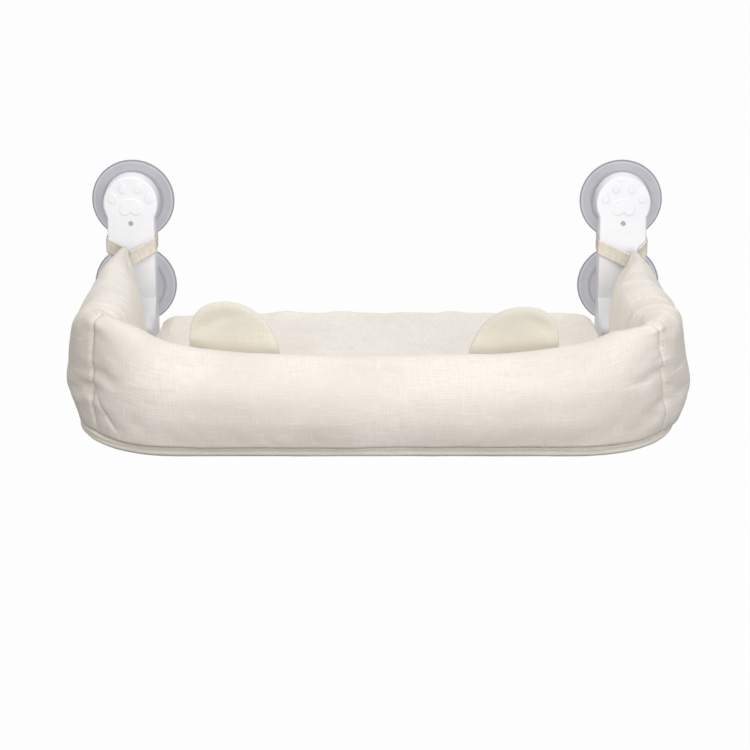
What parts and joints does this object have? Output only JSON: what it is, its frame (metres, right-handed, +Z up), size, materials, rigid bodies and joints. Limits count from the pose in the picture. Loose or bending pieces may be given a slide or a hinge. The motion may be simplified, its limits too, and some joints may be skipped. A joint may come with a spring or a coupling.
{
  "type": "window_cat_hammock",
  "caption": "Padded cat tray that hangs on a window by suction cups on two white arms, with stuffed side walls, ears and a fold-up frame",
  "frame": {"origin": "the middle of the four cups on the glass plane", "axes": "+Z up, +X along the window, +Y through the glass; the room is at -Y"},
  "size_m": [0.5842, 0.378, 0.1895],
  "materials": {
    "cup_vinyl": "soft translucent grey vinyl, glossy",
    "zinc_steel": "zinc-plated steel",
    "white_plastic": "satin white moulding",
    "beige_webbing": "woven cotton tape",
    "coated_tube": "white powder coat on steel tube",
    "ear_cloth": "padded linen-look cloth, slightly yellower",
    "base_cloth": "plain weave, doubled",
    "cream_cloth": "stuffed cream linen-look cloth"
  },
  "bodies": {
    "arms": {"left_upper_cup": "cup_vinyl", "left_lower_cup": "cup_vinyl", "right_upper_cup": "cup_vinyl", "right_lower_cup": "cup_vinyl", "cup_studs": "zinc_steel", "cup_nuts": "zinc_steel", "left_arm_shell": "white_plastic", "right_arm_shell": "white_plastic", "left_back_plate": "white_plastic", "right_back_plate": "white_plastic", "back_screws": "zinc_steel", "front_screws": "zinc_steel", "left_strap": "beige_webbing", "right_strap": "beige_webbing"},
    "tray": {"hinge_axle": "zinc_steel", "axle_caps": "white_plastic", "left_knuckle": "white_plastic", "right_knuckle": "white_plastic", "front_bow": "coated_tube", "bow_screws": "zinc_steel", "bow_casing": "base_cloth", "rear_casing": "base_cloth", "sling": "base_cloth", "seat_pad": "cream_cloth", "front_bolster": "cream_cloth", "left_wing": "cream_cloth", "right_wing": "cream_cloth", "left_ear": "ear_cloth", "right_ear": "ear_cloth"}
  },
  "joints": [
    {"name": "tray_fold", "type": "hinge", "parent": "arms", "child": "tray", "pos_m": [0, -0.084, -0.088], "axis": [-1, 0, 0], "range_deg": [0, 80], "deforming": ["left_wing", "right_wing"]}
  ]
}
